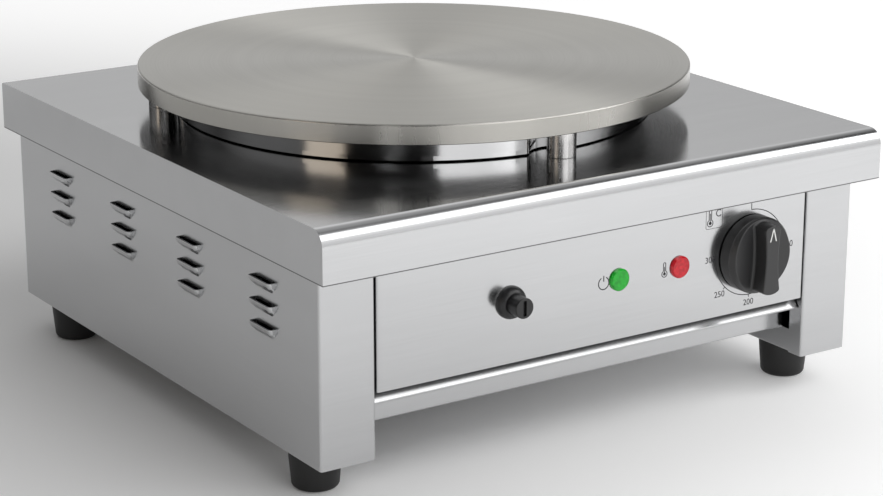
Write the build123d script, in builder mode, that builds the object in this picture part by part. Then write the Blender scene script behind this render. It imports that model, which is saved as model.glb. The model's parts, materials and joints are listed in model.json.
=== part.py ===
from build123d import *
from math import atan2, cos, degrees, pi, radians, sin, sqrt, tan
import os

# Electric crepe maker: a round cast-iron hotplate on three posts above a folded steel housing.
# Origin: middle of the bounding box, on the table top. +Y points to the rear, +Z up.

# ---------------------------------------------------------------- driving dimensions (mm)
# Housing
body_width = 438.2
body_depth = 443.4
body_height = 163.0
sheet = 1.2
fold_radius = 0.8            # inside radius of the sheet-metal folds
foot_height = 27.0

# Deck, the folded cover on top of the housing
deck_side_overhang = 8.0
deck_front_overhang = 19.1
deck_rear_overhang = 9.6
deck_apron = 34.8
deck_front_radius = 11.0
deck_corner_radius = 1.6
deck_hole_radius = 21.5

# Side panels
leg_width = 40.9             # front strip, bottom flange
leg_return = 13.3            # fold behind the front strip, measured from the front face
rear_flange = 26.0
rear_screw_heights = (32.0, 82.0, 122.0)
top_flange = 15.0
runner_height = 17.3         # from the underside of the side panel to the top of the tray runner
runner_width = 10.0
runner_setback = 3.0         # behind the front wall of the tray

# Louvres
louvre_columns = 4
louvre_rows = 3
louvre_column_pitch = 100.3
louvre_row_pitch = 15.5
louvre_length = 27.6
louvre_height = 7.2
louvre_reach = 4.2
louvre_wall = 1.0
louvre_end_round = 2.6       # outer corners at both ends of a hood
louvre_top_slit = 110.2      # highest slit, above the underside of the side panel
louvre_shift = -2.0          # middle of the louvre field from the middle of the housing

# Control panel
panel_gap = 1.3              # groove between the control panel and the legs
panel_rise = 44.9            # lower edge, above the underside of the side panels
panel_return = 12.0
panel_lip = 6.0              # lower edge below its return
control_height = 87.0        # centre line of the controls, above the underside of the side panels
knob_inset = 49.4            # knob axis from the right edge of the control panel
red_lamp_pitch = 62.2        # left of the knob axis
green_lamp_pitch = 51.5      # left of the red lamp
fuse_inset = 102.4           # fuse holder axis from the left edge of the control panel

# Hotplate, posts and element cover
plate_overhang = 17.0        # rim of the 400 mm plate, beyond the circle of the post axes
plate_thickness = 14.0
plate_edge_round = 1.5
plate_setback = 231.3        # centre of the plate behind the front face of the housing
post_count = 3
post_radius = 10.0
post_height = 19.0
post_circle_radius = 183.0
post_start_angle = -90.0
cover_setback = 10.4         # rim of the cover, inside the circle of the post axes
cover_clearance = 3.0        # from the deck to the element cover
cover_sheet = 1.0
cover_edge_round = 1.3
cover_notch_gap = 12.0       # around each post
cover_notch_corner = 3.0
spigot_radius = 20.0
spigot_drop = 12.0

# Heating elements under the plate
tube_radius = 3.25
ring_inset = 24.6            # outer ring, inside the rim of the cover
ring_pitch = 52.0            # from the outer ring to the inner ring
outer_lead_spacing = 5.0     # lead tubes stand this far each side of the middle line
inner_lead_spacing = 14.0
lead_turn = 14.0
lead_bend = 9.0
lead_drop = 42.0             # below the middle of the rings
clamp_overhang = 13.0        # beyond the middle of each ring
clamp_width = 16.0
clamp_thickness = 2.5
boss_radius = 6.5
boss_circle_radius = 60.0

# Crumb tray
tray_setback = 19.8          # front wall behind the front face of the housing
tray_side_gap = 0.8
tray_wall_top = 35.0         # above the underside of the side panels
tray_lift = 0.3              # running gap above the runners
tray_length = 404.0
tray_nose_reach = 15.8       # finger ledge ahead of the front wall
tray_nose_rise = 8.9
tray_nose_slope = 57.0       # degrees from the level
tray_sheet = 1.0
tray_fold_radius = 0.1       # inside radius of the tray's folds

# Knob
knob_gap = 1.0
skirt_radius = 27.2
skirt_height = 10.0
skirt_edge = 0.5
crown_radius = 24.2
crown_height = 14.0
crown_edge_round = 0.8
scoop_foot_height = 11.3     # hollows beside the grip: under it, half-way out and over the skirt's edge
scoop_height = 12.0
scoop_rim_height = 14.6
knob_reach = 24.0            # front of the grip, from the control panel
grip_top = 24.4              # ends of the grip, from the knob axis
grip_foot = 25.0
grip_end_bulge = 2.4
grip_top_half = 7.0          # half widths of the grip
grip_waist_half = 5.5
grip_foot_half = 7.6
grip_corner_radius = 2.0
grip_edge_round = 1.0
grip_root_round = 2.0
hub_radius = 7.0
shaft_radius = 3.0
shaft_flat = 2.0             # from the axis to the flat
shaft_tip = 18.5             # from the control panel

# Lamps
lens_radius = 7.8
lens_height = 2.2
lamp_barrel_radius = 4.9
lamp_barrel_length = 28.0

# Fuse holder
bezel_radius = 11.2
bezel_height = 5.6
cap_radius = 7.0
cap_reach = 16.3
cap_stem = 9.0
barrel_radius = 8.6
barrel_length = 46.0
fuse_radius = 3.2
fuse_length = 32.0
fuse_seat = 5.5

# Rear cable gland
gland_inset = 69.1           # gland axis from the left face of the housing
gland_height = 72.0
gland_reach = 22.0
gland_bore = 4.0
seal_recess = 1.0            # how far the seal's mouth lies inside the dome nut
gland_barrel_radius = 9.0
gland_hex = 22.0

# Thermostat behind the control panel
thermostat_width = 34.0
thermostat_height = 44.0
thermostat_depth = 30.0
thermostat_screw_offset = 14.0
thermostat_flange = 2.0
bulb_radius = 3.0
bulb_length = 70.0
bulb_offset = 2.0            # bulb, inside the middle between the rings
capillary_radius = 1.0
capillary_bend = 7.0
capillary_offset = 12.0      # drop through the deck, in front of the centre of the plate
capillary_start = 22.0       # straight run out of the bulb
capillary_slant = 30.0
capillary_drops = (50.0, 60.0)    # below the top of the housing: under the deck, then over the knob
capillary_setback = 130.7    # second drop behind the front face
capillary_end = 30.0         # straight run into the thermostat

# Heat shield and wiring parts
shield_rise = 48.0
shield_flange = 14.0
terminal_inset = 109.1       # terminal block from the left face of the housing
terminal_setback = 70.0      # in front of the rear face

# Feet
foot_top_radius = 18.0
foot_bottom_radius = 15.6
foot_edge_round = 3.6
foot_inset = 42.2            # foot axis from the front and rear faces

# Clearances
hole_gap = 0.2               # fastener or barrel in its hole, on the radius
running_gap = 0.05           # turning fit, on the radius
seat_gap = 0.1               # laid against its seat
edge_break = 0.4             # chamfer on turned edges

# Fasteners
m8_radius = 4.0
m6_radius = 3.0
m5_radius = 2.5
m4_radius = 2.0

# ---------------------------------------------------------------- derived places
half_width = body_width / 2
body_y = (knob_reach - gland_reach) / 2
front = body_y - body_depth / 2
rear = body_y + body_depth / 2
bottom = foot_height
side_top = bottom + body_height
deck_top = side_top + sheet
plate_y = front + plate_setback
plate_bottom = deck_top + post_height
plate_radius = post_circle_radius + plate_overhang
cover_radius = post_circle_radius - cover_setback
outer_ring = cover_radius - ring_inset
inner_ring = outer_ring - ring_pitch
clamp_circle_radius = (outer_ring + inner_ring) / 2
clamp_length = ring_pitch + 2 * clamp_overhang
cover_bottom = deck_top + cover_clearance
cover_floor = cover_bottom + cover_sheet
leg_inner = half_width - leg_width
control_z = bottom + control_height
panel_half_width = leg_inner - panel_gap
knob_x = panel_half_width - knob_inset
red_lamp_x = knob_x - red_lamp_pitch
green_lamp_x = red_lamp_x - green_lamp_pitch
fuse_x = fuse_inset - panel_half_width
gland_x = gland_inset - half_width
terminal_x = terminal_inset - half_width
bulb_x = clamp_circle_radius - bulb_offset
panel_back = front + sheet
tube_z = plate_bottom - seat_gap - tube_radius
clamp_top = tube_z - tube_radius - seat_gap
clamp_bottom = clamp_top - clamp_thickness
shield_z = bottom + shield_rise
rear_panel_face = rear - sheet
rear_panel_back = rear_panel_face - sheet
foot_x = half_width - leg_width / 2
foot_places = {
    "front_left_foot": (-foot_x, front + foot_inset),
    "front_right_foot": (foot_x, front + foot_inset),
    "rear_left_foot": (-foot_x, rear - foot_inset),
    "rear_right_foot": (foot_x, rear - foot_inset),
}
rear_screw_x = half_width - rear_flange / 2
tray_front = front + tray_setback
tray_bottom = bottom + runner_height + tray_lift
tray_half_width = leg_inner - tray_side_gap
tray_top = bottom + tray_wall_top
post_angles = [post_start_angle + index * 360 / post_count for index in range(post_count)]
clamp_angles = [60, 120, 240, 300]
boss_angles = [0, 120, 240]

os.makedirs("parts", exist_ok=True)


def save(builder, name):
    """Label one finished piece and write it as its own STEP file."""
    builder.part.label = name
    export_step(builder.part, f"parts/{name}.step")


def level(z, x=0.0, y=0.0):
    """Horizontal work plane at height z with its origin over the point x, y."""
    return Plane(origin=(x, y, z), x_dir=(1, 0, 0), z_dir=(0, 0, 1))


def polar(radius, angle):
    """Point over the plate at a radius from its centre and an angle in degrees."""
    return (radius * cos(radians(angle)), plate_y + radius * sin(radians(angle)))


def standing(x, y):
    """Half-section plane through a vertical axis: local x is the radius, local y the height."""
    return Plane(origin=(x, y, 0), x_dir=(1, 0, 0), z_dir=(0, -1, 0))


def facing(x, z, y=None):
    """Plane on the control panel's face: local x to the right, y up, z towards the cook."""
    return Plane(origin=(x, front if y is None else y, z), x_dir=(1, 0, 0), z_dir=(0, -1, 0))


def turned_plane(x, z):
    """Half-section plane of a panel-mounted piece: local x is the radius, y the reach."""
    return Plane(origin=(x, front, z), x_dir=(1, 0, 0), z_dir=(0, 0, -1))


def rearward(x, z, y):
    """Plane that looks to the rear: local x to the left, y up, z towards the rear."""
    return Plane(origin=(x, y, z), x_dir=(-1, 0, 0), z_dir=(0, 1, 0))


def upright_axis(x, y):
    return Axis((x, y, 0), (0, 0, 1))


def reach_axis(x, z):
    return Axis((x, front, z), (0, -1, 0))


def outline(*points):
    """Closed straight-sided face in the current sketch."""
    with BuildLine() as border:
        Polyline(*points, close=True)
    make_face(border.edges())


def folded(plane, points, depth, thickness=sheet, inside_radius=fold_radius):
    """Folded sheet: the fold line runs through the middle of the sheet, swept to a depth."""
    with BuildSketch(plane) as sheet_edge:
        with BuildLine():
            FilletPolyline(*points, radius=inside_radius + thickness / 2)
        trace(line_width=thickness)
    extrude(sheet_edge.sketch, amount=depth)


# ---------------------------------------------------------------- deck
deck_front = front - deck_front_overhang
deck_rear = rear + deck_rear_overhang
deck_half_width = half_width + deck_side_overhang
deck_bottom = deck_top - deck_apron


def deck_section(inset):
    """Side view of the deck: a rounded front edge and a crisp rear edge."""
    low = deck_bottom
    with BuildLine() as side:
        Line((deck_front + inset, low), (deck_front + inset, deck_top - deck_front_radius))
        CenterArc((deck_front + deck_front_radius, deck_top - deck_front_radius),
                  deck_front_radius - inset, 180, -90)
        Line((deck_front + deck_front_radius, deck_top - inset),
             (deck_rear - deck_corner_radius, deck_top - inset))
        CenterArc((deck_rear - deck_corner_radius, deck_top - deck_corner_radius),
                  deck_corner_radius - inset, 90, -90)
        Line((deck_rear - inset, deck_top - deck_corner_radius), (deck_rear - inset, low))
        Line((deck_rear - inset, low), (deck_front + inset, low))
    make_face(side.edges())


with BuildPart() as deck:
    with BuildSketch(Plane.YZ):
        deck_section(0)
    extrude(amount=deck_half_width, both=True)
    with BuildSketch(Plane.YZ):
        deck_section(sheet)
    extrude(amount=deck_half_width - sheet, both=True, mode=Mode.SUBTRACT)
    with BuildSketch(level(deck_top, y=plate_y)):
        Circle(deck_hole_radius)
        with PolarLocations(post_circle_radius, post_count, start_angle=post_start_angle):
            Circle(m8_radius + hole_gap)
    extrude(amount=-2 * sheet, mode=Mode.SUBTRACT)
save(deck, "deck")

# ---------------------------------------------------------------- side panels
louvre_middle = body_y + louvre_shift


def hood_section(inset):
    """Cross-section of a louvre hood: furthest out along its upper slit, blended in at its foot."""
    with BuildLine() as hood:
        Line((0, 0), (louvre_reach - inset, 0))
        Spline((louvre_reach - inset, 0), (0.66 * louvre_reach - inset, -0.56 * louvre_height),
               (0, -louvre_height + inset), tangents=((-0.12, -1), (-0.3, -1)))
        Line((0, -louvre_height + inset), (0, 0))
    make_face(hood.edges())


def hood_body(inset):
    """Louvre hood with rounded ends, bulging along +X from its slit at the origin."""
    with BuildPart() as hood:
        with BuildSketch(Plane.XZ):
            hood_section(inset)
        extrude(amount=louvre_length / 2 - inset, both=True)
        ends = hood.faces().filter_by(Axis.Y).edges().filter_by(GeomType.BSPLINE)
        fillet(ends, radius=louvre_end_round - inset)
    return hood.part


louvre_shell = hood_body(0)
louvre_hollow = hood_body(louvre_wall)
louvre_places = [
    (half_width,
     louvre_middle + (column - (louvre_columns - 1) / 2) * louvre_column_pitch,
     bottom + louvre_top_slit - row * louvre_row_pitch)
    for column in range(louvre_columns)
    for row in range(louvre_rows)
]

wall_x = half_width - sheet / 2
return_x = leg_inner + sheet / 2
flange_z = bottom + sheet / 2
runner_front = tray_front + runner_setback

with BuildPart() as right_side_panel:
    folded(level(bottom),
           ((return_x, front + leg_return), (return_x, front + sheet / 2),
            (wall_x, front + sheet / 2), (wall_x, rear - sheet / 2),
            (half_width - rear_flange, rear - sheet / 2)),
           body_height)
    # bottom flange with its upright edge, and the ledge that the tray slides on
    folded(Plane.XZ.offset(-(front + sheet)),
           ((wall_x, flange_z), (return_x, flange_z), (return_x, bottom + runner_height)),
           -(rear_panel_back - front - sheet))
    with BuildSketch(level(bottom + runner_height)):
        with Locations((return_x + sheet / 2, runner_front)):
            Rectangle(runner_width + sheet, rear_panel_back - runner_front,
                      align=(Align.MAX, Align.MIN))
    extrude(amount=-sheet)
    # top flange under the deck
    with BuildSketch(level(side_top)):
        with Locations((half_width, front + sheet)):
            Rectangle(top_flange, rear_panel_back - front - sheet, align=(Align.MAX, Align.MIN))
    extrude(amount=-sheet)
    # louvres: pierce the wall, then raise the hoods
    with Locations(*louvre_places):
        add(louvre_shell)
    with Locations(*louvre_places):
        add(louvre_hollow, mode=Mode.SUBTRACT)
    with Locations(*louvre_places):
        Box(2 * sheet, louvre_length - 2 * louvre_end_round, louvre_height - 2 * louvre_wall,
            align=(Align.MAX, Align.CENTER, Align.MAX), mode=Mode.SUBTRACT)
    # holes for the foot screws and the rear panel screws
    with Locations((foot_x, front + foot_inset, bottom), (foot_x, rear - foot_inset, bottom)):
        Cylinder(m5_radius + hole_gap, 4 * sheet, mode=Mode.SUBTRACT)
    with BuildSketch(facing(0, bottom, rear)):
        with Locations(*[(rear_screw_x, height) for height in rear_screw_heights]):
            Circle(m4_radius + hole_gap)
    extrude(amount=2 * sheet, both=True, mode=Mode.SUBTRACT)
save(right_side_panel, "right_side_panel")

with BuildPart() as left_side_panel:
    mirror(right_side_panel.part, about=Plane.YZ)
save(left_side_panel, "left_side_panel")

# ---------------------------------------------------------------- rear panel
rear_panel_half = half_width - sheet - fold_radius - hole_gap
rear_flange_half = half_width - top_flange - 2 * hole_gap
rear_return_half = leg_inner - runner_width - 2 * hole_gap
gland_z = bottom + gland_height

with BuildPart() as rear_panel:
    with BuildSketch(facing(0, bottom, rear_panel_back)):
        Rectangle(2 * rear_panel_half, body_height, align=(Align.CENTER, Align.MIN))
        with Locations(*[(side * rear_screw_x, height)
                         for side in (-1, 1) for height in rear_screw_heights]):
            Circle(m4_radius, mode=Mode.SUBTRACT)
        with Locations((gland_x, gland_height)):
            Circle(gland_barrel_radius + hole_gap, mode=Mode.SUBTRACT)
    extrude(amount=-sheet)
    for height, half in ((bottom, rear_return_half), (side_top - sheet, rear_flange_half)):
        with BuildSketch(level(height)):
            with Locations((0, rear_panel_back)):
                Rectangle(2 * half, panel_return, align=(Align.CENTER, Align.MAX))
        extrude(amount=sheet)
save(rear_panel, "rear_panel")


def slotted_pan_head(radius, height):
    """Screw head at the origin of the current location, raised along its local z."""
    with BuildPart() as head:
        Cylinder(radius, height, align=(Align.CENTER, Align.CENTER, Align.MIN))
        fillet(head.edges().sort_by(Axis.Z)[-1], radius=0.45 * height)
        with Locations((0, 0, height)):
            Box(3 * radius, 0.28 * radius, 0.9 * height, mode=Mode.SUBTRACT)
    return head.part


m4_head = slotted_pan_head(2 * m4_radius, 1.2 * m4_radius)
m5_head = slotted_pan_head(2 * m5_radius, 1.2 * m5_radius)
rear_screw_length = 9.0

with BuildPart() as rear_panel_screws:
    for side in (-1, 1):
        for height in rear_screw_heights:
            with Locations(rearward(side * rear_screw_x, bottom + height, rear)):
                add(m4_head)
                Cylinder(m4_radius, rear_screw_length,
                         align=(Align.CENTER, Align.CENTER, Align.MAX))
save(rear_panel_screws, "rear_panel_screws")

# ---------------------------------------------------------------- control panel
panel_bottom = bottom + panel_rise
panel_turn_x = panel_half_width - sheet / 2

with BuildPart() as control_panel:
    folded(level(panel_bottom),
           ((-panel_turn_x, front + panel_return), (-panel_turn_x, front + sheet / 2),
            (panel_turn_x, front + sheet / 2), (panel_turn_x, front + panel_return)),
           side_top - panel_bottom)
    for height in (panel_bottom + panel_lip, side_top - sheet):
        with BuildSketch(level(height)):
            with Locations((0, front + sheet / 2)):
                Rectangle(2 * panel_half_width - sheet, panel_return - sheet / 2,
                          align=(Align.CENTER, Align.MIN))
        extrude(amount=sheet)
    with BuildSketch(facing(0, control_z)):
        with Locations((fuse_x, 0)):
            Circle(barrel_radius + hole_gap)
        with Locations((green_lamp_x, 0), (red_lamp_x, 0)):
            Circle(lamp_barrel_radius + hole_gap)
        with Locations((knob_x, 0)):
            Circle(shaft_radius + 5 * hole_gap)
        with Locations((knob_x - thermostat_screw_offset, 0),
                       (knob_x + thermostat_screw_offset, 0)):
            Circle(m4_radius + hole_gap)
    extrude(amount=-2 * sheet, mode=Mode.SUBTRACT)
save(control_panel, "control_panel")

# ---------------------------------------------------------------- heat shield over the tray
shield_front = front + leg_return + 2 * sheet
shield_turn_x = half_width - 1.5 * sheet

with BuildPart() as heat_shield:
    folded(Plane.XZ.offset(-shield_front),
           ((-shield_turn_x, shield_z + shield_flange), (-shield_turn_x, shield_z + sheet / 2),
            (shield_turn_x, shield_z + sheet / 2), (shield_turn_x, shield_z + shield_flange)),
           -(rear_panel_back - shield_front))
save(heat_shield, "heat_shield")

# ---------------------------------------------------------------- posts and their bolts
post_names = ("front_post", "right_post", "left_post")
bolt_depth = 9.0
washer_thickness = 1.6
bolt_head_height = 5.3
bolt_head_flats = 13.0

for name, angle in zip(post_names, post_angles):
    with BuildPart() as post:
        with BuildSketch(level(deck_top)):
            with Locations(polar(post_circle_radius, angle)):
                Circle(post_radius)
                Circle(m8_radius + hole_gap, mode=Mode.SUBTRACT)
        extrude(amount=post_height)
        chamfer(post.edges().filter_by(GeomType.CIRCLE).filter_by(
            lambda edge: abs(edge.radius - post_radius) < seat_gap), length=edge_break)
    save(post, name)

with BuildPart() as post_washers:
    with BuildSketch(level(side_top)):
        with Locations(*[polar(post_circle_radius, angle) for angle in post_angles]):
            Circle(post_radius)
            Circle(m8_radius + hole_gap, mode=Mode.SUBTRACT)
    extrude(amount=-washer_thickness)
save(post_washers, "post_washers")

with BuildPart() as post_bolts:
    with BuildSketch(level(side_top - washer_thickness)):
        with Locations(*[polar(post_circle_radius, angle) for angle in post_angles]):
            RegularPolygon(bolt_head_flats / 2, 6, major_radius=False)
    extrude(amount=-bolt_head_height)
    with BuildSketch(level(side_top - washer_thickness)):
        with Locations(*[polar(post_circle_radius, angle) for angle in post_angles]):
            Circle(m8_radius)
    extrude(amount=plate_bottom + bolt_depth - seat_gap - side_top + washer_thickness)
save(post_bolts, "post_bolts")

# ---------------------------------------------------------------- hotplate
stud_depth = 7.0
cover_screw_length = 10.0
saddle_screw_length = 6.0
saddle_tab = 10.0
saddle_sheet = 1.0
saddle_length = 12.0
saddle_half = bulb_radius + fold_radius + saddle_sheet + saddle_tab
saddle_screw_x = saddle_half - saddle_tab / 2
saddle_screw_places = [(bulb_x + side * saddle_screw_x, plate_y) for side in (-1, 1)]

with BuildPart() as hotplate:
    with BuildSketch(level(plate_bottom)):
        with Locations((0, plate_y)):
            Circle(plate_radius)
    extrude(amount=plate_thickness)
    fillet(hotplate.edges().group_by(Axis.Z)[-1], radius=plate_edge_round)
    chamfer(hotplate.edges().group_by(Axis.Z)[0], length=edge_break)
    with BuildSketch(level(plate_bottom)):
        with Locations(*[polar(boss_circle_radius, angle) for angle in boss_angles]):
            Circle(boss_radius)
    extrude(amount=-(plate_bottom - cover_floor))
    with BuildSketch(level(plate_bottom)):
        with Locations(*[polar(post_circle_radius, angle) for angle in post_angles]):
            Circle(m8_radius)
    extrude(amount=bolt_depth, mode=Mode.SUBTRACT)
    with BuildSketch(level(plate_bottom)):
        with Locations(*[polar(clamp_circle_radius, angle) for angle in clamp_angles]):
            Circle(m6_radius)
    extrude(amount=stud_depth, mode=Mode.SUBTRACT)
    with BuildSketch(level(cover_floor)):
        with Locations(*[polar(boss_circle_radius, angle) for angle in boss_angles]):
            Circle(m5_radius)
    extrude(amount=cover_screw_length, mode=Mode.SUBTRACT)
    with BuildSketch(level(plate_bottom)):
        with Locations(*saddle_screw_places):
            Circle(m4_radius)
    extrude(amount=saddle_screw_length, mode=Mode.SUBTRACT)
save(hotplate, "hotplate")

# ---------------------------------------------------------------- element cover and insulation
notch_radius = post_radius + cover_notch_gap
insulation_thickness = 5.0
cover_screw_head = 1.5


def cover_outline(inset):
    """Round outline under the plate, scalloped where the posts stand."""
    with BuildSketch() as scalloped:
        Circle(cover_radius - inset)
        with PolarLocations(post_circle_radius, post_count, start_angle=post_start_angle):
            Circle(notch_radius + inset, mode=Mode.SUBTRACT)
        fillet(scalloped.vertices(), radius=cover_notch_corner)
    return scalloped.sketch


def cover_solid(inset, foot, edge_round):
    """Scalloped disc from its foot up to the underside of the plate, with a rounded lower rim."""
    with BuildPart() as disc:
        with Locations((0, plate_y, foot)):
            add(cover_outline(inset))
        extrude(amount=plate_bottom - foot)
        fillet(disc.edges().group_by(Axis.Z)[0], radius=edge_round)
    return disc.part


cover_outside = cover_solid(0, cover_bottom, cover_edge_round)
cover_inside = cover_solid(cover_sheet, cover_floor, cover_edge_round - cover_sheet)
cover_head_radius = 2 * m5_radius

with BuildPart() as element_cover:
    add(cover_outside)
    add(cover_inside, mode=Mode.SUBTRACT)
    with BuildSketch(level(cover_bottom)):
        with Locations((0, plate_y)):
            Circle(spigot_radius)
    extrude(amount=-spigot_drop)
    with BuildSketch(level(cover_floor)):
        with Locations((0, plate_y)):
            Circle(spigot_radius - cover_sheet)
        with Locations(*[polar(boss_circle_radius, angle) for angle in boss_angles]):
            Circle(m5_radius + hole_gap)
    extrude(amount=-(spigot_drop + cover_sheet), mode=Mode.SUBTRACT)
save(element_cover, "element_cover")

with BuildPart() as insulation:
    with Locations((0, plate_y, cover_floor)):
        add(cover_outline(cover_edge_round))
    extrude(amount=insulation_thickness)
    with BuildSketch(level(cover_floor)):
        with Locations((0, plate_y)):
            Circle(spigot_radius)
        with Locations(*[polar(boss_circle_radius, angle) for angle in boss_angles]):
            Circle(boss_radius + hole_gap)
        with Locations(*[polar(clamp_circle_radius, angle) for angle in clamp_angles]):
            Circle(2.5 * m6_radius)
    extrude(amount=insulation_thickness, mode=Mode.SUBTRACT)
save(insulation, "insulation")

with BuildPart() as cover_screws:
    for angle in boss_angles:
        with Locations((*polar(boss_circle_radius, angle), cover_bottom)):
            Cylinder(cover_head_radius, cover_screw_head,
                     align=(Align.CENTER, Align.CENTER, Align.MAX))
            Cylinder(m5_radius, cover_screw_length,
                     align=(Align.CENTER, Align.CENTER, Align.MIN))
save(cover_screws, "cover_screws")

# ---------------------------------------------------------------- heating elements
pin_radius = 1.5
pin_length = 10.0


def heating_element(ring, spacing):
    """Tubular element: a ring whose two ends turn to the centre and drop through the deck."""
    rise = sqrt((ring - lead_turn) ** 2 - (spacing + lead_turn) ** 2)
    swing = degrees(atan2(rise, spacing + lead_turn))
    knee = lead_bend * (1 - cos(pi / 4))
    knee_rise = lead_bend * sin(pi / 4) - lead_bend
    with BuildLine(level(tube_z, y=plate_y)) as route:
        Line((spacing, 0, -lead_drop), (spacing, 0, -lead_bend))
        ThreePointArc((spacing, 0, -lead_bend), (spacing, knee, knee_rise),
                      (spacing, lead_bend, 0))
        Line((spacing, lead_bend, 0), (spacing, rise, 0))
        CenterArc((spacing + lead_turn, rise), lead_turn, 180, swing - 180)
        CenterArc((0, 0), ring, swing, -180 - 2 * swing)
        CenterArc((-spacing - lead_turn, rise), lead_turn, 180 - swing, swing - 180)
        Line((-spacing, rise, 0), (-spacing, lead_bend, 0))
        ThreePointArc((-spacing, lead_bend, 0), (-spacing, knee, knee_rise),
                      (-spacing, 0, -lead_bend))
        Line((-spacing, 0, -lead_bend), (-spacing, 0, -lead_drop))
    with BuildPart() as element:
        with BuildSketch(level(tube_z - lead_drop, spacing, plate_y)) as bore:
            Circle(tube_radius)
        sweep(bore.sketch, path=Wire(route.edges()))
        with Locations((spacing, plate_y, tube_z - lead_drop),
                       (-spacing, plate_y, tube_z - lead_drop)):
            Cylinder(pin_radius, pin_length, align=(Align.CENTER, Align.CENTER, Align.MAX))
    return element


save(heating_element(outer_ring, outer_lead_spacing), "outer_heating_element")
save(heating_element(inner_ring, inner_lead_spacing), "inner_heating_element")

nut_height = 4.0
m6_nut_flats = 10.0
stud_tail = 1.0              # beyond the nut

with BuildPart() as element_clamps:
    for angle in clamp_angles:
        x, y = polar(clamp_circle_radius, angle)
        with BuildSketch(Plane(origin=(x, y, clamp_bottom),
                               x_dir=(cos(radians(angle)), sin(radians(angle)), 0),
                               z_dir=(0, 0, 1))):
            SlotOverall(clamp_length, clamp_width)
            Circle(m6_radius + hole_gap, mode=Mode.SUBTRACT)
        extrude(amount=clamp_thickness)
save(element_clamps, "element_clamps")

with BuildPart() as clamp_studs:
    with BuildSketch(level(clamp_bottom - nut_height - stud_tail)):
        with Locations(*[polar(clamp_circle_radius, angle) for angle in clamp_angles]):
            Circle(m6_radius)
    extrude(amount=plate_bottom + stud_depth - seat_gap - clamp_bottom + nut_height + stud_tail)
save(clamp_studs, "clamp_studs")

with BuildPart() as clamp_nuts:
    with BuildSketch(level(clamp_bottom)):
        with Locations(*[polar(clamp_circle_radius, angle) for angle in clamp_angles]):
            RegularPolygon(m6_nut_flats / 2, 6, major_radius=False)
            Circle(m6_radius, mode=Mode.SUBTRACT)
    extrude(amount=-nut_height)
save(clamp_nuts, "clamp_nuts")

# ---------------------------------------------------------------- thermostat sensor
bulb_z = plate_bottom - seat_gap - bulb_radius
bulb_front_y = plate_y - bulb_length / 2
capillary_y = plate_y - capillary_offset
capillary_z = tube_z - tube_radius - 2 * capillary_radius
thermostat_back = panel_back + thermostat_depth

with BuildPart() as thermostat_bulb:
    with BuildSketch(facing(bulb_x, bulb_z, plate_y + bulb_length / 2)):
        Circle(bulb_radius)
    extrude(amount=bulb_length)
    fillet(thermostat_bulb.edges(), radius=bulb_radius / 2)
save(thermostat_bulb, "thermostat_bulb")

saddle_low = bulb_z - bulb_radius - seat_gap - saddle_sheet / 2
saddle_high = plate_bottom - saddle_sheet / 2
saddle_wall = bulb_radius + seat_gap + saddle_sheet / 2

with BuildPart() as bulb_saddle:
    folded(Plane(origin=(bulb_x, plate_y + saddle_length / 2, 0), x_dir=(1, 0, 0), z_dir=(0, -1, 0)),
           ((-saddle_half, saddle_high), (-saddle_wall, saddle_high), (-saddle_wall, saddle_low),
            (saddle_wall, saddle_low), (saddle_wall, saddle_high), (saddle_half, saddle_high)),
           saddle_length, thickness=saddle_sheet)
    with BuildSketch(level(plate_bottom)):
        with Locations(*saddle_screw_places):
            Circle(m4_radius + hole_gap)
    extrude(amount=-2 * saddle_sheet, mode=Mode.SUBTRACT)
save(bulb_saddle, "bulb_saddle")

with BuildPart() as saddle_screws:
    for x, y in saddle_screw_places:
        with Locations(Plane(origin=(x, y, plate_bottom - saddle_sheet),
                             x_dir=(1, 0, 0), z_dir=(0, 0, -1))):
            add(m4_head)
            Cylinder(m4_radius, saddle_sheet + saddle_screw_length - seat_gap,
                     align=(Align.CENTER, Align.CENTER, Align.MAX))
save(saddle_screws, "saddle_screws")

with BuildPart() as capillary_tube:
    with BuildLine() as capillary:
        FilletPolyline((bulb_x, bulb_front_y, bulb_z),
                       (bulb_x, bulb_front_y - capillary_start, bulb_z),
                       (bulb_x - capillary_slant, bulb_front_y - capillary_start, capillary_z),
                       (0, capillary_y, capillary_z),
                       (0, capillary_y, side_top - capillary_drops[0]),
                       (knob_x, front + capillary_setback, side_top - capillary_drops[1]),
                       (knob_x, thermostat_back + capillary_end, control_z),
                       (knob_x, thermostat_back, control_z),
                       radius=capillary_bend)
    with BuildSketch(facing(bulb_x, bulb_z, bulb_front_y)) as capillary_bore:
        Circle(capillary_radius)
    sweep(capillary_bore.sketch, path=Wire(capillary.edges()))
save(capillary_tube, "capillary_tube")

# ---------------------------------------------------------------- temperature knob
hollow_radius = 22.0
hollow_depth = 6.0
grip_shoulder = grip_top - grip_end_bulge
grip_heel = grip_end_bulge - grip_foot

with BuildPart() as knob_crown:
    with BuildSketch(turned_plane(knob_x, control_z)):
        outline((0, knob_gap), (skirt_radius, knob_gap), (skirt_radius, skirt_height - skirt_edge),
                (skirt_radius - skirt_edge, skirt_height), (crown_radius, crown_height),
                (0, crown_height))
    revolve(axis=reach_axis(knob_x, control_z))
    for side in (-1, 1):
        with BuildSketch(turned_plane(knob_x, control_z)):
            with BuildLine() as scoop:
                ThreePointArc((0, scoop_foot_height), (side * crown_radius / 2, scoop_height),
                              (side * skirt_radius, scoop_rim_height))
                Polyline((side * skirt_radius, scoop_rim_height), (side * skirt_radius, knob_reach),
                         (0, knob_reach), (0, scoop_foot_height))
            make_face(scoop.edges())
        extrude(amount=skirt_radius, both=True, mode=Mode.SUBTRACT)
    crown_rim = [edge for edge in knob_crown.edges().filter_by(GeomType.LINE, reverse=True)
                 if front - edge.center().Y > (skirt_height + scoop_foot_height) / 2]
    fillet(crown_rim, radius=crown_edge_round)

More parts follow.
